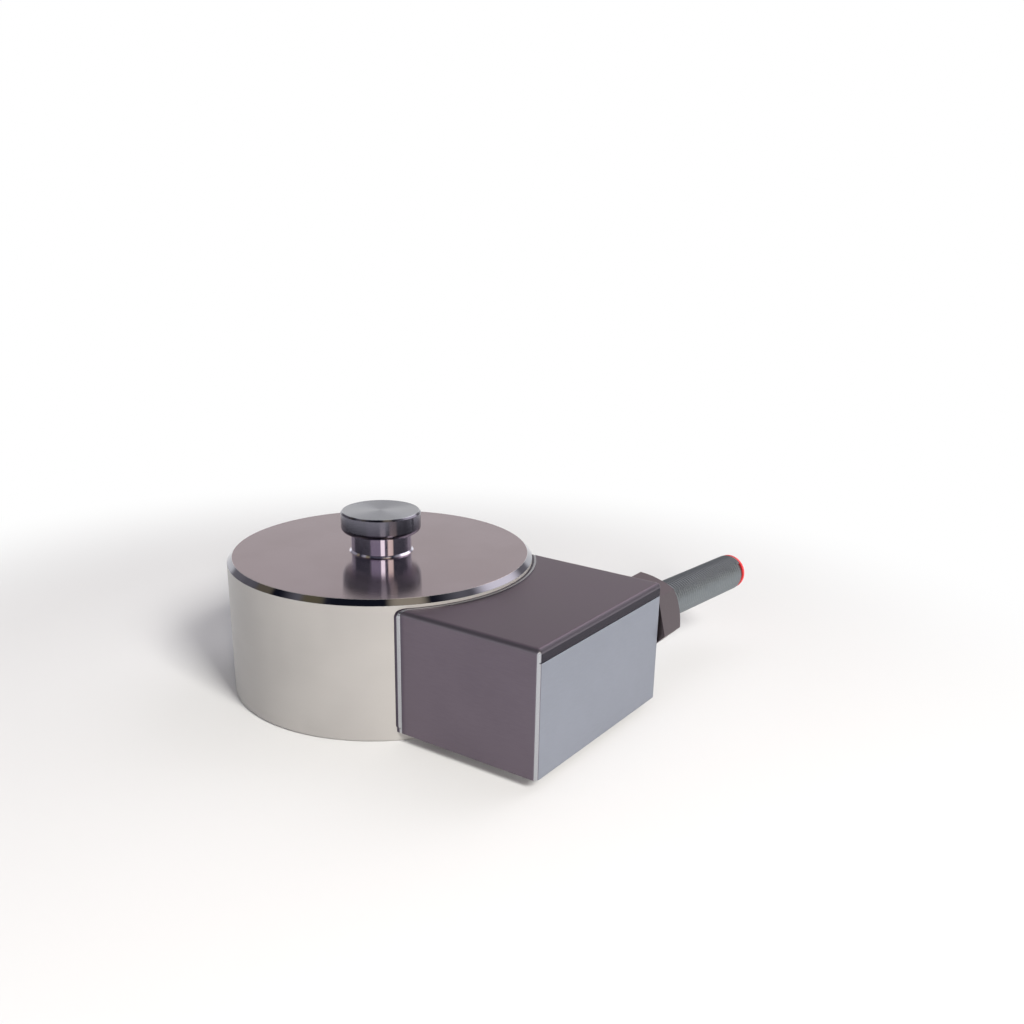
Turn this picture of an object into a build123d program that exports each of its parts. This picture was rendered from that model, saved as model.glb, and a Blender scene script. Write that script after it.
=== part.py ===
from build123d import *
import os
from math import cos, radians, sin, tan

# Low-profile compression load cell with a welded terminal housing and a spring-guarded gland.
# The origin is the centre of the body's base. +Z points up along the load, +X runs out through
# the terminal housing, and the cable leaves on the housing's +Y side.

# Sensor body: outer ring, bending web, hub and load button in one turned piece
body_radius = 42.5
body_height = 38.8
rim_chamfer = 1.4
base_chamfer = 0.6
button_neck_radius = 8.45
button_neck_height = 5.6
button_head_radius = 11.15
button_head_height = 5.9
button_head_chamfer = 0.5
button_head_round = 1.5
button_foot_chamfer = 0.6

# Measuring cavity, seen from below
web_thickness = 9.0
web_root_chamfer = 2.0
web_width = 14.0
hub_length = 15.0
ring_wall = 11.5
board_ledge_width = 5.0
board_ledge_height = 20.0
bottom_cover_thickness = 1.5
bottom_cover_overlap = 2.4
bottom_cover_inset = 0.4
bottom_cover_clearance = 0.1

# Tapped holes in the base ring, at tapping-drill size
base_bolt_hole_radius = 2.5
base_bolt_hole_depth = 10.0
base_bolt_count = 3
base_bolt_start_angle = 60.0

# Bridge parts on the web
gauge_margin = 1.5
gauge_width = 6.0
gauge_thickness = 0.2
gauge_count = 4
tab_offset_angle = 32.0
tab_length = 4.0
tab_width = 3.6
tab_thickness = 0.5
compensation_offset_angle = 60.0
compensation_width = 4.0
ring_board_thickness = 1.2
ring_board_inner_lap = 0.5
ring_board_clearance = 0.2
jumper_size = 0.5
jumper_offset = 1.0
jumper_spacing = 1.6

# Lead passage between the cavity and the terminal housing
lead_width = 4.0
lead_thickness = 1.2
lead_bend_radius = 3.0
lead_wall_clearance = 0.4
bushing_radius = 4.0
bushing_hole_clearance = 0.05
bushing_bore_clearance = 0.1
bushing_setback = 3.0
bushing_flange_radius = 5.4
bushing_flange_thickness = 1.5
bushing_floor_gap = 1.1

# Terminal housing
housing_blank_start = 15.0
housing_length = 30.8
housing_half_width = 29.75
housing_base = 2.9
housing_top_drop = 2.4
housing_edge_round = 1.3
turned_edge_height = 3.4
joint_groove = 0.3
housing_wall = 3.2
housing_top_wall = 3.0
saddle_gap = 0.03
saddle_thickness = 4.0
lip_thickness = 1.2
lip_height = 0.2
lip_corner_round = 2.2

# Closing plate under the housing
cover_rim = 1.5
cover_inset = 0.3
cover_thickness = 2.0
cover_clearance = 0.15
cover_corner_round = 2.0
gasket_thickness = 0.8
boss_radius = 4.0
boss_height = 8.0
boss_inset = 4.2
cover_screw_radius = 1.5
cover_screw_hole_clearance = 0.2
cover_screw_head_radius = 2.8
cover_screw_length = 8.0
countersink_angle = 90
tapped_hole_clearance = 0.02

# Terminal board
board_thickness = 1.6
board_length = 34.0
board_width = 20.0
board_edge_gap = 1.0
board_side_gap = 1.55
standoff_height = 6.0
standoff_flats = 5.0
board_screw_radius = 1.25
board_screw_length = 5.0
board_screw_head_radius = 2.2
board_screw_head_height = 1.6
board_screw_hole_clearance = 0.15
board_hole_inset = 3.0
post_size = 0.8
post_length = 4.0
post_pitch = 2.5
post_row_count = 4
post_row_span = 8.0
post_offset_y = 4.0
resistor_radius = 1.15
resistor_length = 6.5
resistor_pitch = 4.0
resistor_count = 3
resistor_leg_size = 0.6
resistor_leg_reach = 1.5
resistor_drop = 0.3

# Cable gland
gland_end_distance = 9.3
gland_drop = 12.9
gland_pad_depth = 2.0
gland_pad_width = 12.5
gland_pad_height = 15.5
nipple_radius = 6.0
nipple_bore_step = 0.5
washer_radius = 8.2
washer_thickness = 1.25
nut_flats = 19.0
nut_thread_length = 4.4
nut_turn = 14.4
nut_corner_chamfer = 1.3
nut_lip_thickness = 2.4
nut_mouth_chamfer = 0.6
thread_gap = 0.05
seal_thickness = 1.4
cable_bore_radius = 3.1

# Spring guard, which leans a little from the gland's axis
guard_lean_x = 4.0
guard_lean_z = -1.5
guard_rise = 0.37
guard_radius = 5.45
guard_wire = 1.2
guard_groove_depth = 0.32
guard_turns = 39
guard_wall = 1.25
guard_root_step = 1.05
guard_root_thickness = 1.2
guard_root_play = 1.0
guard_exit_clearance = 0.75
guard_chamber_clearance = 0.75
bush_flange_step = 0.15
bush_flange_thickness = 0.8
bush_sleeve_length = 8.0
bush_sleeve_clearance = 0.05

# What follows for the sensor body
lower_cavity_radius = body_radius - ring_wall
upper_cavity_radius = lower_cavity_radius - board_ledge_width
hub_radius = upper_cavity_radius - web_width
bottom_cover_seat = bottom_cover_inset + bottom_cover_thickness
bottom_cover_radius = lower_cavity_radius + bottom_cover_overlap
bottom_recess_radius = bottom_cover_radius + bottom_cover_clearance
base_bolt_circle_radius = (bottom_recess_radius + body_radius) / 2
web_underside = body_height - web_thickness
hub_end = web_underside - hub_length
neck_top = body_height + button_neck_height
button_top = neck_top + button_head_height
gauge_circle_radius = hub_radius + web_width / 2
gauge_length = web_width - 2 * (web_root_chamfer + gauge_margin)
ring_board_inner_radius = gauge_circle_radius - ring_board_inner_lap

# What follows for the terminal housing
housing_end = body_radius + housing_length
housing_top = body_height - housing_top_drop
housing_height = housing_top - housing_base
cavity_start = body_radius + saddle_thickness
cavity_end = housing_end - housing_wall
cavity_half_width = housing_half_width - housing_wall
cavity_ceiling = housing_top - housing_top_wall
cover_base = housing_base + cover_inset
cover_top = cover_base + cover_thickness
cover_ledge = cover_top + gasket_thickness
recess_start = cavity_start - (housing_wall - cover_rim)
recess_end = housing_end - cover_rim
recess_half_width = housing_half_width - cover_rim
recess_centre = (recess_start + recess_end) / 2
boss_span_x = recess_end - recess_start - 2 * boss_inset
boss_span_y = 2 * (recess_half_width - boss_inset)
lead_height = cover_ledge + bushing_floor_gap + bushing_flange_radius
board_top = cavity_ceiling - standoff_height
board_underside = board_top - board_thickness
board_centre_x = cavity_start + board_edge_gap + board_width / 2
board_centre_y = board_side_gap + board_length / 2 - cavity_half_width
board_hole_span_x = board_width - 2 * board_hole_inset
board_hole_span_y = board_length - 2 * board_hole_inset

# What follows for the cable gland and the guard
gland_x = housing_end - gland_end_distance
gland_z = housing_top - gland_drop
nut_start = housing_half_width + washer_thickness
nipple_outer_end = nut_start + nut_thread_length
nipple_bore_radius = cable_bore_radius + nipple_bore_step
chamber_end = nipple_outer_end + seal_thickness + guard_root_play + guard_root_thickness
nut_end = chamber_end + nut_lip_thickness
nut_thickness = nut_end - nut_start
nut_corner_radius = nut_flats / 2 / cos(radians(30))
guard_bore_radius = guard_radius - guard_wall
guard_root_radius = guard_radius + guard_root_step
guard_root_depth = nut_lip_thickness + guard_root_play / 2 + guard_root_thickness

os.makedirs("parts", exist_ok=True)


def finish(part, name):
    """Label one sub-part and write it to its own file."""
    part.label = name
    export_step(part, f"parts/{name}.step")


def nearest(sketch, point):
    """The corner of a sketch that lies nearest to a point."""
    return sketch.vertices().sort_by_distance(point)[0]


def across_y(y):
    """A plane that faces +Y, with its local X along the row's X and its local Y along -Z."""
    return Plane(origin=(gland_x, y, gland_z), x_dir=(1, 0, 0), z_dir=(0, 1, 0))


# Sensor body
with BuildPart() as sensor_body:
    with BuildSketch(Plane.XZ) as body_section:
        with BuildLine():
            Polyline(
                (0, hub_end),
                (hub_radius, hub_end),
                (hub_radius, web_underside),
                (upper_cavity_radius, web_underside),
                (upper_cavity_radius, board_ledge_height),
                (lower_cavity_radius, board_ledge_height),
                (lower_cavity_radius, bottom_cover_seat),
                (bottom_recess_radius, bottom_cover_seat),
                (bottom_recess_radius, 0),
                (body_radius, 0),
                (body_radius, body_height),
                (button_neck_radius, body_height),
                (button_neck_radius, neck_top),
                (button_head_radius, neck_top),
                (button_head_radius, button_top),
                (0, button_top),
                close=True,
            )
        make_face()
        fillet(nearest(body_section, (button_head_radius, neck_top)), button_head_round)
        for cut_corner, cut in (
            ((hub_radius, web_underside), web_root_chamfer),
            ((upper_cavity_radius, web_underside), web_root_chamfer),
            ((body_radius, 0), base_chamfer),
            ((body_radius, body_height), rim_chamfer),
            ((button_neck_radius, body_height), button_foot_chamfer),
            ((button_head_radius, button_top), button_head_chamfer),
        ):
            chamfer(nearest(body_section, cut_corner), cut)
    revolve(axis=Axis.Z)
    # Tapped holes in the base ring
    with Locations(Plane(origin=(0, 0, 0), x_dir=(1, 0, 0), z_dir=(0, 0, -1))):
        with PolarLocations(base_bolt_circle_radius, base_bolt_count, base_bolt_start_angle):
            Hole(base_bolt_hole_radius, base_bolt_hole_depth)
    # Lead passage through the ring, towards the terminal housing
    with BuildSketch(Plane.YZ.offset((hub_radius + lower_cavity_radius) / 2)):
        with Locations((0, lead_height)):
            Circle(bushing_radius + bushing_hole_clearance)
    extrude(amount=body_radius, mode=Mode.SUBTRACT)
finish(sensor_body.part, "sensor_body")

# Bottom cover, which is welded into the base ring
with BuildPart() as bottom_cover:
    with BuildSketch(Plane.XY.offset(bottom_cover_inset)):
        Circle(bottom_cover_radius)
    extrude(amount=bottom_cover_thickness)
finish(bottom_cover.part, "bottom_cover")

# Strain gauges on the web's underside
with BuildPart() as strain_gauges:
    with BuildSketch(Plane.XY.offset(web_underside)):
        with PolarLocations(gauge_circle_radius, gauge_count):
            Rectangle(gauge_length, gauge_width)
    extrude(amount=-gauge_thickness)
finish(strain_gauges.part, "strain_gauges")

# Solder tabs between the gauges
with BuildPart() as gauge_terminals:
    with BuildSketch(Plane.XY.offset(web_underside)):
        with PolarLocations(gauge_circle_radius, gauge_count, tab_offset_angle):
            Rectangle(tab_length, tab_width)
    extrude(amount=-tab_thickness)
finish(gauge_terminals.part, "gauge_terminals")

# Temperature compensation resistor
with BuildPart() as compensation_resistor:
    with BuildSketch(Plane.XY.offset(web_underside)):
        with PolarLocations(gauge_circle_radius, 1, compensation_offset_angle):
            Rectangle(gauge_length, compensation_width)
    extrude(amount=-gauge_thickness)
finish(compensation_resistor.part, "compensation_resistor")

# Ring board that joins the gauges into a bridge, glued under the ledge of the outer ring
with BuildPart() as bridge_ring_board:
    with BuildSketch(Plane.XY.offset(board_ledge_height)):
        Circle(lower_cavity_radius - ring_board_clearance)
        Circle(ring_board_inner_radius, mode=Mode.SUBTRACT)
    extrude(amount=-ring_board_thickness)
finish(bridge_ring_board.part, "bridge_ring_board")

# Jumpers from the solder tabs down to the ring board, two at each tab
with BuildPart() as gauge_jumpers:
    with BuildSketch(Plane.XY.offset(board_ledge_height)):
        with PolarLocations(gauge_circle_radius + jumper_offset, gauge_count, tab_offset_angle):
            with GridLocations(0, jumper_spacing, 1, 2):
                Rectangle(jumper_size, jumper_size)
    extrude(amount=web_underside - tab_thickness - board_ledge_height)
finish(gauge_jumpers.part, "gauge_jumpers")

# Bushing that carries the leads through the ring and the housing's saddle
bushing_start = lower_cavity_radius + bushing_setback
with BuildPart() as feedthrough_bushing:
    with BuildSketch(Plane.YZ.offset(bushing_start)):
        with Locations((0, lead_height)):
            Circle(bushing_radius)
    extrude(amount=cavity_start - bushing_start)
    with BuildSketch(Plane.YZ.offset(cavity_start)):
        with Locations((0, lead_height)):
            Circle(bushing_flange_radius)
    extrude(amount=bushing_flange_thickness)
    with BuildSketch(Plane.YZ.offset(bushing_start)):
        with Locations((0, lead_height)):
            Rectangle(
                lead_width + 2 * bushing_bore_clearance,
                lead_thickness + 2 * bushing_bore_clearance,
            )
    extrude(amount=body_radius, mode=Mode.SUBTRACT)
finish(feedthrough_bushing.part, "feedthrough_bushing")

# Ribbon of leads from the ring board to the terminal board
lead_start = lower_cavity_radius - lead_wall_clearance - lead_thickness / 2
lead_rise = cavity_start + bushing_flange_thickness + lead_bend_radius
with BuildPart() as signal_leads:
    with BuildLine():
        lead_path = FilletPolyline(
            (lead_start, 0, board_ledge_height - ring_board_thickness),
            (lead_start, 0, lead_height),
            (lead_rise, 0, lead_height),
            (lead_rise, 0, board_underside),
            radius=lead_bend_radius,
        )
    with BuildSketch(Plane(origin=lead_path @ 0, x_dir=(0, 1, 0), z_dir=lead_path % 0)):
        Rectangle(lead_width, lead_thickness)
    sweep()
finish(signal_leads.part, "signal_leads")


def cavity_outline():
    """The housing's cavity above its ledge, without the four corner bosses."""
    with BuildSketch(mode=Mode.PRIVATE) as outline:
        with Locations(((cavity_start + cavity_end) / 2, 0)):
            Rectangle(cavity_end - cavity_start, 2 * cavity_half_width)
        with Locations((recess_centre, 0)):
            with GridLocations(boss_span_x, boss_span_y, 2, 2):
                Circle(boss_radius, mode=Mode.SUBTRACT)
    return outline.sketch


def cover_outline(clearance):
    """The rounded outline of the recess for the closing plate, less a clearance all round."""
    with BuildSketch(mode=Mode.PRIVATE) as outline:
        with Locations((recess_centre, 0)):
            RectangleRounded(
                recess_end - recess_start - 2 * clearance,
                2 * (recess_half_width - clearance),
                cover_corner_round - clearance,
            )
    return outline.sketch


# Terminal housing
lip_radius = body_radius + lip_thickness
with BuildPart() as terminal_housing:
    with BuildSketch(Plane.XZ.offset(-housing_half_width)):
        with Locations((housing_blank_start, housing_base)):
            Rectangle(housing_end - housing_blank_start, housing_height, align=Align.MIN)
    extrude(amount=2 * housing_half_width)
    # Rounded edges round the top and down the end face
    top_edges = terminal_housing.edges().group_by(Axis.Z)[-1].sort_by(Axis.X)[1:]
    end_edges = terminal_housing.edges().group_by(Axis.X)[-1].filter_by(Axis.Z)
    fillet(top_edges + end_edges, housing_edge_round)
    # Joint line on the end face, under the turned-down edge of the top sheet
    with BuildSketch(Plane.YZ.offset(housing_end - joint_groove)):
        with Locations((0, housing_top - turned_edge_height)):
            Rectangle(2 * housing_half_width, joint_groove)
    extrude(amount=joint_groove, mode=Mode.SUBTRACT)
    # Raised lip that follows the joint with the body
    with BuildSketch(Plane.YZ.offset(housing_blank_start), mode=Mode.PRIVATE) as lip_frame:
        with Locations((0, (housing_base + housing_top) / 2)):
            RectangleRounded(
                2 * (housing_half_width + lip_height),
                housing_height + 2 * lip_height,
                lip_corner_round,
            )
    lip_block = extrude(lip_frame.sketch, amount=lip_radius, mode=Mode.PRIVATE)
    lip_cylinder = Cylinder(
        lip_radius, body_height, align=(Align.CENTER, Align.CENTER, Align.MIN), mode=Mode.PRIVATE
    )
    add(lip_block & lip_cylinder)
    # Saddle face against the body
    Cylinder(
        body_radius + saddle_gap,
        body_height,
        align=(Align.CENTER, Align.CENTER, Align.MIN),
        mode=Mode.SUBTRACT,
    )
    # Recess for the closing plate, and the cavity above its ledge
    with BuildSketch(Plane.XY.offset(housing_base)):
        add(cover_outline(0))
    extrude(amount=cover_ledge - housing_base, mode=Mode.SUBTRACT)
    with BuildSketch(Plane.XY.offset(cover_ledge)):
        add(cavity_outline())
    extrude(amount=boss_height, mode=Mode.SUBTRACT)
    with BuildSketch(Plane.XY.offset(cover_ledge + boss_height)):
        with Locations(((cavity_start + cavity_end) / 2, 0)):
            Rectangle(cavity_end - cavity_start, 2 * cavity_half_width)
    extrude(amount=cavity_ceiling - cover_ledge - boss_height, mode=Mode.SUBTRACT)
    # Tapped holes for the closing plate's screws
    with BuildSketch(Plane.XY.offset(cover_ledge)):
        with Locations((recess_centre, 0)):
            with GridLocations(boss_span_x, boss_span_y, 2, 2):
                Circle(cover_screw_radius + tapped_hole_clearance)
    extrude(amount=boss_height, mode=Mode.SUBTRACT)
    # Pad inside the wall for the gland's thread, and the hole through both
    with BuildSketch(Plane.XZ.offset(gland_pad_depth - cavity_half_width)):
        with Locations((cavity_end, gland_z)):
            Rectangle(gland_pad_width, gland_pad_height, align=(Align.MAX, Align.CENTER))
    extrude(amount=-gland_pad_depth)
    with BuildSketch(across_y(cavity_half_width - gland_pad_depth)):
        Circle(nipple_radius + thread_gap)
    extrude(amount=housing_wall + gland_pad_depth, mode=Mode.SUBTRACT)
    # Hole for the feedthrough bushing
    with BuildSketch(Plane.YZ.offset(housing_blank_start)):
        with Locations((0, lead_height)):
            Circle(bushing_radius + bushing_hole_clearance)
    extrude(amount=cavity_start - housing_blank_start, mode=Mode.SUBTRACT)
finish(terminal_housing.part, "terminal_housing")

# Gasket between the closing plate and the ledge
with BuildPart() as housing_gasket:
    with BuildSketch(Plane.XY.offset(cover_top)):
        add(cover_outline(cover_clearance))
        add(cavity_outline(), mode=Mode.SUBTRACT)
        with Locations((recess_centre, 0)):
            with GridLocations(boss_span_x, boss_span_y, 2, 2):
                Circle(cover_screw_radius + cover_screw_hole_clearance, mode=Mode.SUBTRACT)
    extrude(amount=gasket_thickness)
finish(housing_gasket.part, "housing_gasket")

# Closing plate with countersunk holes
countersink_depth = (cover_screw_head_radius - cover_screw_radius) / tan(radians(countersink_angle / 2))
with BuildPart() as housing_cover:
    with BuildSketch(Plane.XY.offset(cover_base)):
        add(cover_outline(cover_clearance))
    extrude(amount=cover_thickness)
    with Locations(Plane(origin=(recess_centre, 0, cover_base), x_dir=(1, 0, 0), z_dir=(0, 0, -1))):
        with GridLocations(boss_span_x, boss_span_y, 2, 2):
            CounterSinkHole(
                cover_screw_radius + cover_screw_hole_clearance,
                cover_screw_head_radius + cover_screw_hole_clearance,
                counter_sink_angle=countersink_angle,
            )
finish(housing_cover.part, "housing_cover")

# Countersunk screws of the closing plate
with BuildPart() as housing_screws:
    with BuildSketch(Plane.XZ) as cover_screw_section:
        with BuildLine():
            Polyline(
                (0, 0),
                (cover_screw_head_radius, 0),
                (cover_screw_radius, countersink_depth),
                (cover_screw_radius, cover_screw_length),
                (0, cover_screw_length),
                close=True,
            )
        make_face()
    cover_screw = revolve(axis=Axis.Z, mode=Mode.PRIVATE)
    with Locations((recess_centre, 0, cover_base)):
        with GridLocations(boss_span_x, boss_span_y, 2, 2):
            add(cover_screw)
finish(housing_screws.part, "housing_screws")

# Hexagon standoffs that hang the terminal board from the housing's ceiling
board_holes = Location((board_centre_x, board_centre_y, 0))
with BuildPart() as board_standoffs:
    with BuildSketch(Plane.XY.offset(board_top)):
        with Locations(board_holes):
            with GridLocations(board_hole_span_x, board_hole_span_y, 2, 2):
                RegularPolygon(standoff_flats / 2, 6, major_radius=False)
                Circle(board_screw_radius + tapped_hole_clearance, mode=Mode.SUBTRACT)
    extrude(amount=standoff_height)
finish(board_standoffs.part, "board_standoffs")

# Terminal board
with BuildPart() as terminal_board:
    with BuildSketch(Plane.XY.offset(board_underside)):
        with Locations(board_holes):
            Rectangle(board_width, board_length)
            with GridLocations(board_hole_span_x, board_hole_span_y, 2, 2):
                Circle(board_screw_radius + board_screw_hole_clearance, mode=Mode.SUBTRACT)
    extrude(amount=board_thickness)
finish(terminal_board.part, "terminal_board")

# Pan head screws that hold the board
with BuildPart() as board_screws:
    with BuildSketch(Plane.XY.offset(board_underside - board_screw_head_height)):
        with Locations(board_holes):
            with GridLocations(board_hole_span_x, board_hole_span_y, 2, 2):
                Circle(board_screw_head_radius)
    extrude(amount=board_screw_head_height)
    with BuildSketch(Plane.XY.offset(board_underside)):
        with Locations(board_holes):
            with GridLocations(board_hole_span_x, board_hole_span_y, 2, 2):
                Circle(board_screw_radius)
    extrude(amount=board_screw_length)
finish(board_screws.part, "board_screws")

# Solder posts: one row for the bridge leads and one for the cable's wires
with BuildPart() as solder_posts:
    with BuildSketch(Plane.XY.offset(board_underside)):
        with Locations((board_centre_x, board_centre_y + post_offset_y)):
            with GridLocations(post_row_span, post_pitch, 2, post_row_count):
                Rectangle(post_size, post_size)
    extrude(amount=-post_length)
finish(solder_posts.part, "solder_posts")

# Trim resistors, which lie along Y under the board on bent legs
leg_rise = resistor_radius + resistor_drop
leg_foot = resistor_length / 2 + resistor_leg_reach
resistor_row_y = board_centre_y - board_length / 2 + board_hole_inset + resistor_length
with BuildPart() as trim_resistors:
    with BuildSketch(Plane.XZ, mode=Mode.PRIVATE) as resistor_body:
        Circle(resistor_radius)
    resistor = extrude(resistor_body.sketch, amount=resistor_length / 2, both=True, mode=Mode.PRIVATE)
    with BuildSketch(Plane.YZ, mode=Mode.PRIVATE) as leg_outline:
        Rectangle(2 * leg_foot, resistor_leg_size)
        for side in (-1, 1):
            with Locations((side * (leg_foot - resistor_leg_size / 2), -resistor_leg_size / 2)):
                Rectangle(
                    resistor_leg_size,
                    leg_rise + resistor_leg_size / 2,
                    align=(Align.CENTER, Align.MIN),
                )
    legs = extrude(leg_outline.sketch, amount=resistor_leg_size / 2, both=True, mode=Mode.PRIVATE)
    with Locations((board_centre_x, resistor_row_y, board_underside - leg_rise)):
        with GridLocations(resistor_pitch, 0, resistor_count, 1):
            add(resistor + legs)
finish(trim_resistors.part, "trim_resistors")

# Threaded sleeve of the gland, through the wall and its pad
nipple_start = cavity_half_width - gland_pad_depth
with BuildPart() as gland_nipple:
    with BuildSketch(across_y(nipple_start)):
        Circle(nipple_radius)
        Circle(nipple_bore_radius, mode=Mode.SUBTRACT)
    extrude(amount=nipple_outer_end - nipple_start)
finish(gland_nipple.part, "gland_nipple")

# Sealing washer under the nut
with BuildPart() as gland_washer:
    with BuildSketch(across_y(housing_half_width)):
        Circle(washer_radius)
        Circle(nipple_radius + thread_gap, mode=Mode.SUBTRACT)
    extrude(amount=washer_thickness)
finish(gland_washer.part, "gland_washer")

# Rubber seal between the sleeve's end and the guard's root
with BuildPart() as gland_seal:
    with BuildSketch(across_y(nipple_outer_end)):
        Circle(nipple_radius)
        Circle(cable_bore_radius, mode=Mode.SUBTRACT)
    extrude(amount=seal_thickness)
finish(gland_seal.part, "gland_seal")

# Gland nut: a hexagon with turned corners, a threaded bore, a chamber for the guard's root and a lip
with BuildPart() as gland_nut:
    with BuildSketch(across_y(nut_start)):
        RegularPolygon(nut_flats / 2, 6, major_radius=False, rotation=30 - nut_turn)
    extrude(amount=nut_thickness)
    with BuildSketch(Plane(origin=(gland_x, nut_start, gland_z), x_dir=(1, 0, 0), z_dir=(0, 0, 1))) as turned:
        Rectangle(nut_corner_radius, nut_thickness, align=Align.MIN)
        chamfer(nearest(turned, (nut_corner_radius, nut_thickness)), nut_corner_chamfer)
    revolve(
        axis=Axis((gland_x, nut_start, gland_z), (0, 1, 0)),
        mode=Mode.INTERSECT,
    )
    with BuildSketch(across_y(nut_start)):
        Circle(nipple_radius + thread_gap)
    extrude(amount=nipple_outer_end - nut_start, mode=Mode.SUBTRACT)
    with BuildSketch(across_y(nipple_outer_end)):
        Circle(guard_root_radius + guard_chamber_clearance)
    extrude(amount=chamber_end - nipple_outer_end, mode=Mode.SUBTRACT)
    with BuildSketch(across_y(chamber_end)):
        Circle(guard_radius + guard_exit_clearance)
    extrude(amount=nut_lip_thickness, mode=Mode.SUBTRACT)
    mouth = gland_nut.edges().filter_by(GeomType.CIRCLE).group_by(Axis.Y)[-1].sort_by(SortBy.RADIUS)[0]
    chamfer(mouth, nut_mouth_chamfer)
finish(gland_nut.part, "gland_nut")

# Plane of the guard's root, square to its leaning axis. Its own Z runs out along the guard.
guard_direction = Vector(
    sin(radians(guard_lean_x)) * cos(radians(guard_lean_z)),
    cos(radians(guard_lean_x)) * cos(radians(guard_lean_z)),
    sin(radians(guard_lean_z)),
)
guard_mouth = Vector(gland_x, nut_end, gland_z + guard_rise)
guard_root = guard_mouth - guard_direction * guard_root_depth
guard_plane = Plane(origin=guard_root, x_dir=(1, 0, 0), z_dir=guard_direction)
guard_axis = Axis(guard_root, guard_direction)
guard_length = guard_root_depth + guard_turns * guard_wire

# Spring guard: close-wound turns, with a plain root and a flange that the nut's lip holds
with BuildPart() as spring_guard:
    with BuildSketch(Plane(guard_root, x_dir=guard_plane.x_dir, z_dir=-guard_plane.y_dir)):
        with BuildLine():
            groove_radius = guard_radius - guard_groove_depth
            outline = [
                (guard_bore_radius, 0),
                (guard_root_radius, 0),
                (guard_root_radius, guard_root_thickness),
                (groove_radius, guard_root_thickness),
                (groove_radius, guard_root_depth),
            ]
            for turn in range(guard_turns):
                turn_start = guard_root_depth + turn * guard_wire
                outline.append((guard_radius, turn_start + guard_wire / 2))
                outline.append((groove_radius, turn_start + guard_wire))
            outline.append((guard_bore_radius, guard_length))
            Polyline(*outline, close=True)
        make_face()
    revolve(axis=guard_axis)
finish(spring_guard.part, "spring_guard")

# Bush in the guard's open end
with BuildPart() as guard_end_bush:
    with BuildSketch(guard_plane.offset(guard_length)):
        Circle(guard_radius - bush_flange_step)
    extrude(amount=bush_flange_thickness)
    with BuildSketch(guard_plane.offset(guard_length)):
        Circle(guard_bore_radius - bush_sleeve_clearance)
    extrude(amount=-bush_sleeve_length)
    with BuildSketch(guard_plane.offset(guard_length + bush_flange_thickness)):
        Circle(cable_bore_radius)
    extrude(amount=-(bush_flange_thickness + bush_sleeve_length), mode=Mode.SUBTRACT)
finish(guard_end_bush.part, "guard_end_bush")
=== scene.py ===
import math

import bmesh
import bpy
from mathutils import Matrix, Vector


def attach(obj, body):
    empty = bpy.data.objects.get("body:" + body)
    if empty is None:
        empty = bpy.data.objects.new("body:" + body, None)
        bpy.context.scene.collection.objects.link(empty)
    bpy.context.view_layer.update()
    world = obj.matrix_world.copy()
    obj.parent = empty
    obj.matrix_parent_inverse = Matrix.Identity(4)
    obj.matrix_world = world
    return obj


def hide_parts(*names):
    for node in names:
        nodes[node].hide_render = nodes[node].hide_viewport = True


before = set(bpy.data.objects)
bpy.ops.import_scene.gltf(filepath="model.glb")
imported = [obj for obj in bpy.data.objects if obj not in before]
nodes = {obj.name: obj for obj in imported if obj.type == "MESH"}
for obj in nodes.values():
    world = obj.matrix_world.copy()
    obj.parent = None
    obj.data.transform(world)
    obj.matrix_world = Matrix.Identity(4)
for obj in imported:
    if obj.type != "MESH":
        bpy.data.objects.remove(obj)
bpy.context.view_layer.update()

scene = bpy.context.scene
scene.view_settings.view_transform = "Standard"

# Sizes that scene.py repeats from the part's source, in metres
BODY_R, BODY_H, RIM = 0.0425, 0.0388, 0.0014
HEAD_R, HEAD_BOTTOM, BUTTON_TOP = 0.01115, 0.0444, 0.0503
LIP_R = 0.0437
HOUSING_TOP, TURNED_EDGE = 0.0364, 0.0034
GUARD_MOUTH = Vector((0.064, 0.0414, 0.02387))
GUARD_AXIS = Vector((0.0697326, 0.9972222, -0.0261769))
GUARD_R, GUARD_WIRE, GUARD_TURNS = 0.00545, 0.0012, 39
GUARD_BORE_R, ROOT_R, ROOT_T, ROOT_DEPTH = 0.0042, 0.0065, 0.0012, 0.0041

MICRON = 0.000001
WHITE = (1.0, 1.0, 1.0)


# Node helpers

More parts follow.
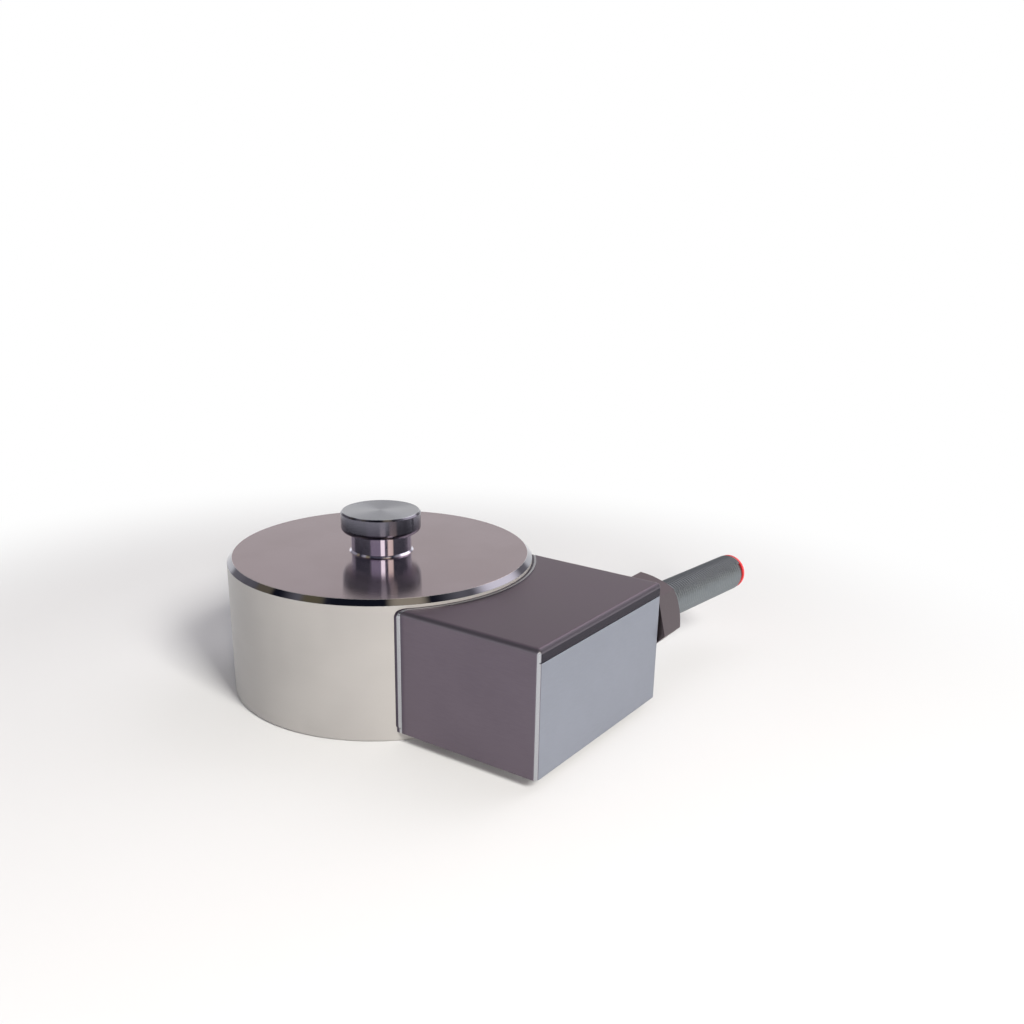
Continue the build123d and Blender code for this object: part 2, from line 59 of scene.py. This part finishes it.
class Shader:
    """One material with its Principled shader and short ways to add nodes."""

    def __init__(self, name, color=(0.5, 0.5, 0.5), roughness=0.4, metallic=0.0):
        self.material = bpy.data.materials.new(name)
        self.material.use_nodes = True
        self.tree = self.material.node_tree
        self.surface = self.tree.nodes["Principled BSDF"]
        self.put("Base Color", color)
        self.put("Roughness", roughness)
        self.put("Metallic", metallic)
        self.place = self.add("ShaderNodeTexCoord").outputs["Object"]

    def add(self, kind, **settings):
        node = self.tree.nodes.new(kind)
        for key, value in settings.items():
            setattr(node, key, value)
        return node

    def feed(self, socket, value):
        """Link a socket, or set a plain number or colour."""
        if isinstance(value, bpy.types.NodeSocket):
            self.tree.links.new(value, socket)
        elif isinstance(value, (tuple, list)) and len(value) == 3 and socket.type == "RGBA":
            socket.default_value = (*value, 1.0)
        else:
            socket.default_value = value

    def put(self, name, value):
        self.feed(self.surface.inputs[name], value)

    def math(self, operation, a, b=0.0):
        node = self.add("ShaderNodeMath", operation=operation)
        self.feed(node.inputs[0], a)
        self.feed(node.inputs[1], b)
        return node.outputs[0]

    def both(self, a, b):
        """Product of two masks."""
        return self.math("MULTIPLY", a, b)

    def either(self, a, b):
        """The larger of two masks."""
        return self.math("MAXIMUM", a, b)

    def step(self, value, low, high, to_low=0.0, to_high=1.0):
        """Smooth step of a value from low to high."""
        node = self.add("ShaderNodeMapRange", interpolation_type="SMOOTHSTEP")
        for socket, number in zip(node.inputs[1:5], (low, high, to_low, to_high)):
            socket.default_value = number
        self.feed(node.inputs[0], value)
        return node.outputs[0]

    def mix(self, factor, a, b):
        """Mix two numbers."""
        node = self.add("ShaderNodeMix", data_type="FLOAT")
        self.feed(node.inputs[0], factor)
        self.feed(node.inputs[2], a)
        self.feed(node.inputs[3], b)
        return node.outputs[0]

    def blend(self, factor, a, b):
        """Mix two colours."""
        node = self.add("ShaderNodeMix", data_type="RGBA")
        self.feed(node.inputs[0], factor)
        self.feed(node.inputs[6], a)
        self.feed(node.inputs[7], b)
        return node.outputs[2]

    def scaled(self, x, y, z):
        """Object coordinates with each axis scaled."""
        node = self.add("ShaderNodeMapping")
        self.feed(node.inputs["Vector"], self.place)
        node.inputs["Scale"].default_value = (x, y, z)
        return node.outputs[0]

    def noise(self, where, scale, detail=3.0, rough=0.55):
        node = self.add("ShaderNodeTexNoise")
        self.feed(node.inputs["Vector"], where)
        node.inputs["Scale"].default_value = scale
        node.inputs["Detail"].default_value = detail
        node.inputs["Roughness"].default_value = rough
        return node.outputs["Fac"]

    def shares(self, a, share, b):
        """Two noises in one, with the share that the first takes."""
        return self.math("ADD", self.math("MULTIPLY", a, share), self.math("MULTIPLY", b, 1 - share))

    def xyz(self, vector=None):
        node = self.add("ShaderNodeSeparateXYZ")
        self.feed(node.inputs[0], vector or self.place)
        return node.outputs[0], node.outputs[1], node.outputs[2]

    def radius(self):
        """Distance from the body's axis."""
        x, y, _ = self.xyz()
        squares = self.math("ADD", self.math("MULTIPLY", x, x), self.math("MULTIPLY", y, y))
        return self.math("SQRT", squares)

    def normal(self):
        return self.xyz(self.add("ShaderNodeTexCoord").outputs["Normal"])

    def bump(self, height, distance, strength):
        node = self.add("ShaderNodeBump")
        node.inputs["Strength"].default_value = strength
        node.inputs["Distance"].default_value = distance
        self.feed(node.inputs["Height"], height)
        self.put("Normal", node.outputs["Normal"])


def dress(name, shader):
    """Give a CAD node its material in every slot."""
    mesh = nodes[name].data
    mesh.materials.clear()
    mesh.materials.append(shader.material)


def darker_and_paler(color, spread):
    return tuple(c * (1 - spread) for c in color), tuple(c * (1 + spread) for c in color)


def steel(name, color, spread=0.06, roughness=0.35, rough_spread=0.08, grain=(1, 1, 1),
          scale=900.0, bump=4 * MICRON):
    """Satin metal with fine grain along one direction and soft patches of tone."""
    s = Shader(name, metallic=1.0)
    fine = s.noise(s.scaled(*grain), scale, 4.0)
    tone = s.shares(fine, 0.6, s.noise(s.place, 60.0, 2.0))
    s.put("Base Color", s.blend(s.step(tone, 0.3, 0.7), *darker_and_paler(color, spread)))
    s.put("Roughness", s.step(tone, 0.3, 0.7, roughness - rough_spread, roughness + rough_spread))
    s.bump(fine, bump, 0.6)
    return s


def plastic(name, color, spread=0.2, roughness=0.35, rough_spread=0.08):
    """Moulded, coated or laminated surface with a slight mottle."""
    s = Shader(name)
    mottle = s.noise(s.place, 400.0, 3.0)
    s.put("Base Color", s.blend(s.step(mottle, 0.3, 0.7), *darker_and_paler(color, spread)))
    s.put("Roughness", s.step(mottle, 0.3, 0.7, roughness - rough_spread, roughness + rough_spread))
    s.bump(mottle, 10 * MICRON, 0.5)
    return s


# Sensor body. A pair of colours holds the darker and the paler one of its patches.
BODY_SIDE = (0.4, 0.39, 0.384), (0.428, 0.418, 0.41)
BODY_TOP = (0.479, 0.4, 0.431), (0.508, 0.428, 0.464)
HEAD_TOP = (0.485, 0.508, 0.55), (0.53, 0.555, 0.6)
# Painted reflections: the chamfer and the head's side are painted darker, and the neck lighter and
# lilac, though all are the same polished steel
RIM_DARK_REFLECTION, NECK_REFLECTION, HEAD_SIDE_DARK_REFLECTION = (0.3, 0.3, 0.34), (0.7, 0.68, 0.79), (0.18, 0.175, 0.212)
SIDE_ROUGH, TOP_ROUGH = (0.42, 0.46), (0.112, 0.128)
RIM_ROUGH, NECK_ROUGH, HEAD_SIDE_ROUGH, HEAD_TOP_ROUGH = 0.07, 0.08, 0.16, 0.24
SIDE_METALLIC = 0.36
TURNING_SCALE, PATCH_SCALE = 2600.0, 45.0


def body_steel():
    """Satin turned side, finely turned top face, and polished chamfer and button, with painted
    reflections: a darker chamfer, a light lilac neck and a dark head side.
    """
    s = Shader("body_steel", metallic=1.0)
    z = s.xyz()[2]
    r = s.radius()
    rings = s.add("ShaderNodeCombineXYZ")
    s.feed(rings.inputs[0], r)
    s.feed(rings.inputs[2], z)
    turning = s.noise(rings.outputs[0], TURNING_SCALE, 4.0, 0.7)
    patches = s.step(s.noise(s.place, PATCH_SCALE, 2.0), 0.35, 0.65)

    rim_r, rim_z = BODY_R - RIM, BODY_H - RIM
    on_top = s.both(
        s.step(z, BODY_H - 60 * MICRON, BODY_H - 20 * MICRON),
        s.step(r, rim_r + 120 * MICRON, rim_r - 20 * MICRON),
    )
    on_rim = s.both(
        s.step(z, rim_z - 60 * MICRON, rim_z + 20 * MICRON),
        s.step(r, rim_r + 20 * MICRON, rim_r + 100 * MICRON),
    )
    in_button = s.both(
        s.step(r, HEAD_R + 400 * MICRON, HEAD_R + 100 * MICRON),
        s.step(z, BODY_H + 50 * MICRON, BODY_H + 200 * MICRON),
    )
    in_head = s.step(z, HEAD_BOTTOM - 100 * MICRON, HEAD_BOTTOM + 100 * MICRON)
    at_head_top = s.step(z, BUTTON_TOP - 120 * MICRON, BUTTON_TOP - 40 * MICRON)
    head_side = s.both(in_button, in_head)
    head_top = s.both(in_button, at_head_top)

    color = s.blend(on_top, s.blend(patches, *BODY_SIDE), s.blend(patches, *BODY_TOP))
    # Painted reflections on the chamfer, the neck and the head's side
    color = s.blend(on_rim, color, RIM_DARK_REFLECTION)
    color = s.blend(in_button, color, NECK_REFLECTION)
    color = s.blend(head_side, color, HEAD_SIDE_DARK_REFLECTION)
    color = s.blend(head_top, color, s.blend(patches, *HEAD_TOP))
    s.put("Base Color", color)

    side_rough = s.step(turning, 0.3, 0.7, *SIDE_ROUGH)
    top_rough = s.step(turning, 0.3, 0.7, *TOP_ROUGH)
    rough = s.mix(on_top, side_rough, top_rough)
    rough = s.mix(on_rim, rough, RIM_ROUGH)
    rough = s.mix(in_button, rough, NECK_ROUGH)
    rough = s.mix(head_side, rough, HEAD_SIDE_ROUGH)
    rough = s.mix(head_top, rough, HEAD_TOP_ROUGH)
    s.put("Roughness", rough)

    metal = s.mix(on_top, SIDE_METALLIC, 1.0)
    metal = s.mix(on_rim, metal, 1.0)
    metal = s.mix(in_button, metal, 1.0)
    s.put("Metallic", metal)

    # The turning marks run round the axis, so the gloss is drawn out along the radius
    s.put("Anisotropic", 0.92)
    s.put("Anisotropic Rotation", 0.25)
    s.put("Tangent", s.add("ShaderNodeTangent", direction_type="RADIAL", axis="Z").outputs[0])
    s.bump(turning, 0.6 * MICRON, 0.3)
    return s


# Terminal housing, with pairs of colours as above
# Painted light and shade: the top face is painted lighter than the side faces, though all are the
# same steel
HOUSING_SIDE_SHADE = (0.155, 0.13, 0.16), (0.181, 0.151, 0.185)
HOUSING_TOP_LIT = (0.215, 0.173, 0.209), (0.247, 0.197, 0.239)
# Painted reflection: the end face is painted paler and bluer, for the bright surroundings that it
# mirrors
END_REFLECTION = (0.376, 0.398, 0.458), (0.406, 0.43, 0.494)
# Painted shade: the strip at the top of the end face is nearly black, and the rounded bends are
# darker than the top
STRIP_SHADE, BEND_SHADE = (0.05, 0.045, 0.06), (0.2, 0.18, 0.21)
# Painted highlight: the bright colour on the upright edge and along the lip. The dark colour marks
# the seam line, and also paints a shadow beside the lip
PAINTED_HIGHLIGHT, SEAM_AND_SHADOW = (0.48, 0.49, 0.52), (0.097, 0.083, 0.111)
HOUSING_ROUGH = (0.36, 0.44)
END_ROUGH, BEND_ROUGH, HIGHLIGHT_ROUGH = 0.5, 0.55, 0.25


def housing_steel():
    """Dark satin steel with painted light and shade: a lighter top than sides, a paler end face as a
    painted reflection, a nearly black strip and darker bends as painted shade, painted highlights on
    the upright edge and the lip, and a dark seam line with a painted shadow beside it.
    """
    s = Shader("housing_steel", metallic=1.0)
    z = s.xyz()[2]
    r = s.radius()
    nx, ny, nz = s.normal()
    across = s.math("ABSOLUTE", ny)
    grain = s.noise(s.scaled(1, 1, 14), 420.0, 4.0)
    tone = s.shares(grain, 0.4, s.noise(s.place, 38.0, 3.0))
    shade = s.step(tone, 0.35, 0.65)

    on_top = s.step(nz, 0.5, 0.9)
    on_end = s.step(nx, 0.93, 0.99)
    strip_z = HOUSING_TOP - TURNED_EDGE
    in_strip = s.step(z, strip_z - 50 * MICRON, strip_z + 50 * MICRON)
    on_strip = s.both(s.step(nx, 0.3, 0.9), in_strip)
    bend = s.step(s.math("MULTIPLY", s.math("SUBTRACT", 1.0, nz), nz), 0.03, 0.15)
    upright_edge = s.step(s.math("MULTIPLY", nx, across), 0.3, 0.42)
    lip = s.both(
        s.step(r, LIP_R + 30 * MICRON, LIP_R - 30 * MICRON),
        s.step(r, BODY_R + 550 * MICRON, BODY_R + 700 * MICRON),
    )
    # Painted highlight on the rounded upright edge and along the lip
    highlight_mask = s.either(upright_edge, lip)
    in_seam = s.step(r, BODY_R + 650 * MICRON, BODY_R + 500 * MICRON)
    # Painted shadow on the side face beside the lip, where a concave fillet would lie in shade
    seam_shadow = s.both(
        s.step(r, BODY_R + 2400 * MICRON, BODY_R + 1200 * MICRON),
        s.step(across, 0.5, 0.9),
    )

    # Painted light and shade: lighter on the top face, darker on the side faces
    color = s.blend(on_top, s.blend(shade, *HOUSING_SIDE_SHADE), s.blend(shade, *HOUSING_TOP_LIT))
    # Painted reflection: the paler end face
    color = s.blend(on_end, color, s.blend(shade, *END_REFLECTION))
    # Painted shade: the nearly black strip at the top of the end face
    color = s.blend(on_strip, color, STRIP_SHADE)
    # Painted shadow beside the lip, at 60 percent of the seam colour
    color = s.blend(s.math("MULTIPLY", seam_shadow, 0.6), color, SEAM_AND_SHADOW)
    # Painted shade on the rounded bends, a tone between the top and the sides
    color = s.blend(bend, color, BEND_SHADE)
    # Painted highlight on the upright edge and the lip
    color = s.blend(highlight_mask, color, PAINTED_HIGHLIGHT)
    color = s.blend(in_seam, color, SEAM_AND_SHADOW)
    s.put("Base Color", color)

    rough = s.step(tone, 0.35, 0.65, *HOUSING_ROUGH)
    rough = s.mix(on_end, rough, END_ROUGH)
    rough = s.mix(bend, rough, BEND_ROUGH)
    rough = s.mix(highlight_mask, rough, HIGHLIGHT_ROUGH)
    s.put("Roughness", rough)
    s.bump(grain, 2 * MICRON, 0.4)
    return s


dress("sensor_body", body_steel())
dress("terminal_housing", housing_steel())

# Gland and guard
RUBBER = (0.03, 0.028, 0.03)
nut_steel = steel(
    "nut_steel", (0.172, 0.143, 0.154), 0.08, 0.46, 0.05, (1, 4, 1), 400.0, 1 * MICRON
)
guard_steel = steel(
    "guard_steel", (0.275, 0.3, 0.318), 0.08, 0.46, 0.05, (1, 1, 1), 700.0, 0.4 * MICRON
)
dress("gland_nut", nut_steel)
dress("gland_washer", plastic("washer_rubber", RUBBER, roughness=0.6))
dress("gland_seal", plastic("seal_rubber", RUBBER, roughness=0.6))
dress("gland_nipple", steel("nipple_steel", (0.5, 0.48, 0.46), 0.08, 0.3))
dress("guard_end_bush", plastic("bush_plastic", (0.583, 0.035, 0.042), 0.18, 0.42))
dress("spring_guard", guard_steel)

# Parts below and inside
SCREW = (0.55, 0.55, 0.56)
LAMINATE = (0.03, 0.14, 0.06)
plate_steel = steel(
    "closing_plate_steel", (0.4, 0.38, 0.39), roughness=0.4, grain=(9, 1, 1), scale=500.0
)
dress("bottom_cover", steel("cover_steel", (0.5, 0.49, 0.49), roughness=0.4))
dress("housing_cover", plate_steel)
dress("housing_screws", steel("screw_steel", SCREW, roughness=0.28))
dress("board_screws", steel("board_screw_steel", SCREW, roughness=0.28))
dress("board_standoffs", steel("standoff_brass", (0.62, 0.46, 0.2), 0.08, 0.3))
dress("solder_posts", steel("post_tin", (0.62, 0.58, 0.48), 0.08, 0.3))
dress("gauge_terminals", steel("tab_tin", (0.62, 0.55, 0.42), 0.1, 0.35))
dress("gauge_jumpers", steel("jumper_tin", (0.62, 0.6, 0.55), 0.08, 0.3))
dress("strain_gauges", plastic("gauge_film", (0.5, 0.27, 0.05)))
dress("compensation_resistor", plastic("resistor_film", (0.45, 0.22, 0.05)))
dress("bridge_ring_board", plastic("ring_board_laminate", LAMINATE))
dress("terminal_board", plastic("terminal_board_laminate", LAMINATE))
dress("trim_resistors", plastic("resistor_lacquer", (0.16, 0.3, 0.42)))
dress("signal_leads", plastic("lead_sleeve", (0.1, 0.1, 0.11), roughness=0.5))
dress("feedthrough_bushing", plastic("bushing_compound", (0.03, 0.03, 0.035), roughness=0.55))
dress("housing_gasket", plastic("gasket_rubber", (0.025, 0.025, 0.027), roughness=0.6))

# Spring guard: one close-wound wire over a plain core, with a shank and a flange in the nut
WIRE_STEPS, WIRE_SIDES, RING_SEGMENTS = 56, 10, 64
WIRE_OVERLAP = 1.04
CORE_INSET, SHANK_INSET = 0.0006, 0.0004
GUARD_ACROSS = GUARD_AXIS.orthogonal().normalized()
GUARD_UPWARD = GUARD_AXIS.cross(GUARD_ACROSS)


def outward(angle):
    """The unit vector away from the guard's axis, at an angle round it."""
    return GUARD_ACROSS * math.cos(angle) + GUARD_UPWARD * math.sin(angle)


def coil(turns, pitch, outer, wire):
    """A closed round wire, wound along the guard's axis with no gap between its turns."""
    bm = bmesh.new()
    rows = []
    count = int(turns * WIRE_STEPS)
    middle = outer - wire / 2
    for i in range(count + 1):
        along = wire / 2 + (turns * pitch - wire) * i / count
        out = outward(2 * math.pi * i / WIRE_STEPS)
        centre = GUARD_MOUTH + GUARD_AXIS * along + out * middle
        row = []
        for k in range(WIRE_SIDES):
            turn = 2 * math.pi * k / WIRE_SIDES
            offset = (out * math.cos(turn) + GUARD_AXIS * math.sin(turn)) * wire / 2
            row.append(bm.verts.new(centre + offset))
        rows.append(row)
    for first, second in zip(rows, rows[1:]):
        for k in range(WIRE_SIDES):
            n = (k + 1) % WIRE_SIDES
            bm.faces.new((first[k], first[n], second[n], second[k]))
    bm.faces.new(rows[0][::-1])
    bm.faces.new(rows[-1])
    return bm


def ring(bm, inner, outer, start, end):
    """A plain ring round the guard's axis, added to the mesh."""
    corners = (start, inner), (start, outer), (end, outer), (end, inner)
    rows = []
    for i in range(RING_SEGMENTS):
        out = outward(2 * math.pi * i / RING_SEGMENTS)
        rows.append([
            bm.verts.new(GUARD_MOUTH + GUARD_AXIS * along + out * radius)
            for along, radius in corners
        ])
    for i in range(RING_SEGMENTS):
        first, second = rows[i], rows[(i + 1) % RING_SEGMENTS]
        for k in range(len(corners)):
            n = (k + 1) % len(corners)
            bm.faces.new((first[k], second[k], second[n], first[n]))


def add_object(name, bm, shader):
    """Turn a finished bmesh into an object of the scene."""
    mesh = bpy.data.meshes.new(name)
    bm.to_mesh(mesh)
    bm.free()
    mesh.materials.append(shader.material)
    thing = bpy.data.objects.new(name, mesh)
    scene.collection.objects.link(thing)
    return thing


bm = coil(GUARD_TURNS, GUARD_WIRE, GUARD_R, GUARD_WIRE * WIRE_OVERLAP)
ring(bm, GUARD_BORE_R, GUARD_R - CORE_INSET, 0.0, GUARD_TURNS * GUARD_WIRE)
ring(bm, GUARD_BORE_R, GUARD_R - SHANK_INSET, -ROOT_DEPTH + ROOT_T, 0.0)
ring(bm, GUARD_BORE_R, ROOT_R, -ROOT_DEPTH, -ROOT_DEPTH + ROOT_T)
bmesh.ops.recalc_face_normals(bm, faces=bm.faces)
for face in bm.faces:
    face.smooth = len(face.verts) == 4
guard = add_object("guard_coil", bm, guard_steel)
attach(guard, "root")
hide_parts("spring_guard")

# Floor: pale near the object, where it takes the shadow, and white further out
FLOOR_RADIUS, FLOOR_SEGMENTS = 30.0, 96
WHITE_FROM, WHITE_TO = 0.12, 0.24


def floor_paint():
    """Matt paint, which further out is plain white light for the rays that show the background."""
    s = Shader("floor", (0.715, 0.735, 0.76), 0.9)
    s.put("Specular IOR Level", 0.0)
    path = s.add("ShaderNodeLightPath").outputs
    seen = s.either(path["Is Camera Ray"], path["Is Glossy Ray"])
    seen = s.either(seen, path["Is Transmission Ray"])
    far = s.step(s.radius(), WHITE_FROM, WHITE_TO)
    white = s.add("ShaderNodeEmission")
    s.feed(white.inputs["Color"], WHITE)
    mixer = s.add("ShaderNodeMixShader")
    s.feed(mixer.inputs[0], s.both(seen, far))
    s.feed(mixer.inputs[1], s.surface.outputs[0])
    s.feed(mixer.inputs[2], white.outputs[0])
    s.feed(s.tree.nodes["Material Output"].inputs["Surface"], mixer.outputs[0])
    return s


bm = bmesh.new()
bmesh.ops.create_circle(bm, cap_ends=True, segments=FLOOR_SEGMENTS, radius=FLOOR_RADIUS)
floor = add_object("floor", bm, floor_paint())

# World: the camera sees white at every height. The metal mirrors the same white at the horizon,
# and above it a dim studio whose walls and lights give the dark and bright bands of the photo.
# Azimuths and heights are in degrees, and dz is the sine of the height.
world = bpy.data.worlds.new("studio")
scene.world = world
world.use_nodes = True
tree = world.node_tree


def world_node(kind, *values, **settings):
    """Add a node to the world, with its inputs linked or set in order."""
    node = tree.nodes.new(kind)
    for key, value in settings.items():
        setattr(node, key, value)
    for socket, value in zip(node.inputs, values):
        if isinstance(value, bpy.types.NodeSocket):
            tree.links.new(value, socket)
        else:
            socket.default_value = value
    return node.outputs


direction = world_node("ShaderNodeTexCoord")["Generated"]
dx, dy, dz = world_node("ShaderNodeSeparateXYZ", direction)[:3]


def aim(azimuth, height=0.0):
    """The unit vector towards an azimuth and a height."""
    a, h = math.radians(azimuth), math.radians(height)
    return math.cos(a) * math.cos(h), math.sin(a) * math.cos(h), math.sin(h)


def fade(value, low, high):
    """Smooth step of a value from low to high."""
    return world_node("ShaderNodeMapRange", value, low, high, interpolation_type="SMOOTHSTEP")[0]


def cone(vector, axis, inner, outer):
    """1 within inner degrees of an axis, falling to 0 at outer degrees."""
    dot = world_node("ShaderNodeVectorMath", vector, axis, operation="DOT_PRODUCT")[1]
    return fade(dot, math.cos(math.radians(outer)), math.cos(math.radians(inner)))


def sector(azimuth, inner, outer):
    """1 within inner degrees of an azimuth at every height, falling to 0 at outer degrees."""
    flat = world_node("ShaderNodeCombineXYZ", dx, dy, 0.0)[0]
    unit = world_node("ShaderNodeVectorMath", flat, operation="NORMALIZE")[0]
    return cone(unit, aim(azimuth), inner, outer)


def patch(azimuth, height, inner, outer):
    """1 within inner degrees of a direction, falling to 0 at outer degrees."""
    return cone(direction, aim(azimuth, height), inner, outer)


def product(a, b):
    return world_node("ShaderNodeMath", a, b, operation="MULTIPLY")[0]


def layer(mask, below, color):
    """Lay a colour over a plain colour or over the layers below."""
    node = tree.nodes.new("ShaderNodeMix")
    node.data_type = "RGBA"
    tree.links.new(mask, node.inputs[0])
    if isinstance(below, bpy.types.NodeSocket):
        tree.links.new(below, node.inputs[6])
    else:
        node.inputs[6].default_value = (*below, 1.0)
    node.inputs[7].default_value = (*color, 1.0)
    return node.outputs[2]


KEY = -20, 38
DARK = (0.016, 0.018, 0.03)
LAYERS = (
    # A dim ring all round, which the disc mirrors to views from about 30 degrees up
    (product(fade(dz, 0.4, 0.46), fade(dz, 0.62, 0.54)), (0.2, 0.19, 0.21)),
    # The far side, behind the object
    (sector(133, 46, 66), (0.3, 0.285, 0.305)),
    # A mauve wall behind the camera, and a warm strip to its right
    (product(sector(-62, 22, 34), fade(dz, 0.75, 0.5)), (0.34, 0.3, 0.372)),
    (product(sector(-14, 7, 13), fade(dz, 0.6, 0.4)), (1.35, 1.14, 0.88)),
    # The low wall on the far side, which the disc mirrors to the camera
    (product(sector(128, 22, 38), fade(dz, 0.52, 0.36)), (0.59, 0.569, 0.562)),
    # The ceiling of the far half, which the disc mirrors to views from high up
    (product(fade(dz, 0.68, 0.84), sector(131.7, 80, 120)), (0.5, 0.48, 0.5)),
    # Lights for the rim, the nut and the guard
    (patch(-15, 67, 5, 12), (0.72, 0.619, 0.446)),
    (patch(78, 43, 14, 25), (1.8, 1.7, 1.76)),
    (patch(-126, 56, 3, 8), (0.245, 0.209, 0.122)),
    (patch(-160, 36, 3, 8), (0.245, 0.209, 0.144)),
    # The key lamp and the strip lamp as the metal sees them
    (patch(*KEY, 5, 10), (5.0, 4.8, 4.5)),
    (product(sector(-44, 6, 9), fade(dz, 0.45, 0.39)), (2.3, 2.22, 2.05)),
    # The horizon, and the background that the camera sees
    (fade(dz, 0.24, 0.15), WHITE),
    (world_node("ShaderNodeLightPath")["Is Camera Ray"], WHITE),
)
sky = DARK
for mask, color in LAYERS:
    sky = layer(mask, sky, color)
tree.links.new(sky, tree.nodes["Background"].inputs["Color"])

LAMP_TARGET = Vector((0.02, 0, 0.02))


def softbox(name, azimuth, height, distance, size, power, tint):
    """A studio lamp aimed at the object, which the metal doesn't mirror."""
    place = Vector(aim(azimuth, height)) * distance
    data = bpy.data.lights.new(name, "AREA")
    data.shape = "RECTANGLE"
    data.size, data.size_y = size
    data.energy = power
    data.color = tint
    lamp = bpy.data.objects.new(name, data)
    scene.collection.objects.link(lamp)
    lamp.location = place
    lamp.rotation_euler = (LAMP_TARGET - place).to_track_quat("-Z", "Y").to_euler()
    lamp.visible_glossy = False


softbox("key", *KEY, 1.1, (0.3, 0.36), 12.6, (1.0, 0.955, 0.885))
softbox("strip", -42, 21, 1.0, (0.11, 0.14), 3.0, (1.0, 0.91, 0.81))
softbox("top", 100, 80, 1.3, (1.0, 1.0), 0.9, WHITE)

# Camera at the photograph's place, as fitted to the edges in the photo
CAMERA_AZIMUTH, CAMERA_ELEVATION, CAMERA_ROLL = 34.79, 19.89, 1.023
CAMERA_PLACE = (0.19503, -0.2186, 0.13064)

azimuth, elevation, roll = map(math.radians, (CAMERA_AZIMUTH, CAMERA_ELEVATION, CAMERA_ROLL))
back = Vector((
    math.sin(azimuth) * math.cos(elevation),
    -math.cos(azimuth) * math.cos(elevation),
    math.sin(elevation),
))
right = Vector((math.cos(azimuth), math.sin(azimuth), 0))
up = back.cross(right)
rolled_right = right * math.cos(roll) + up * math.sin(roll)
rolled_up = up * math.cos(roll) - right * math.sin(roll)
camera_data = bpy.data.cameras.new("camera")
camera_data.sensor_width = 36.0
camera_data.lens = 37.959
camera_data.shift_x = 0.00548
camera_data.shift_y = 0.0820
camera_data.clip_start = 0.01
camera_data.clip_end = 100.0
camera = bpy.data.objects.new("camera", camera_data)
scene.collection.objects.link(camera)
turn = Matrix((rolled_right, rolled_up, back)).transposed().to_4x4()
camera.matrix_world = Matrix.Translation(CAMERA_PLACE) @ turn
scene.camera = camera
